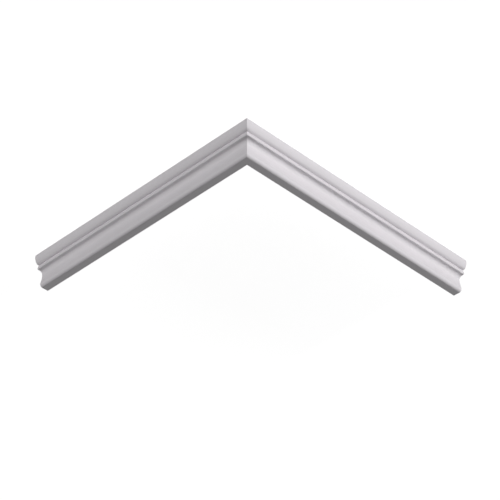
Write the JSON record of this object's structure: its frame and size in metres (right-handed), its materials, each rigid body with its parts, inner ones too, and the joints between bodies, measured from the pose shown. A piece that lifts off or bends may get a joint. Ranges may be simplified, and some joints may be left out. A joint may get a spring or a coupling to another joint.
{
  "type": "mitred cornice moulding",
  "caption": "White cornice moulding turned round an outside wall corner: lengths mitred together, with an ovolo, fillet, cove and rounded nose, trimming the joint of wall and ceiling.",
  "frame": {"origin": "the wall's outside corner at the ceiling, where the backs of the two lengths and the ceiling face meet", "axes": "+X along the back of the short length towards its sawn end, +Y along the back of the long length towards its sawn end, +Z away from the ceiling face: up as the part lies on the floor, down the wall once it is fixed"},
  "size_m": [0.6087, 0.6317, 0.07],
  "materials": {
    "primed_polyurethane": "matte"
  },
  "bodies": {
    "root": {"short_length": "primed_polyurethane", "long_length": "primed_polyurethane"}
  },
  "joints": []
}
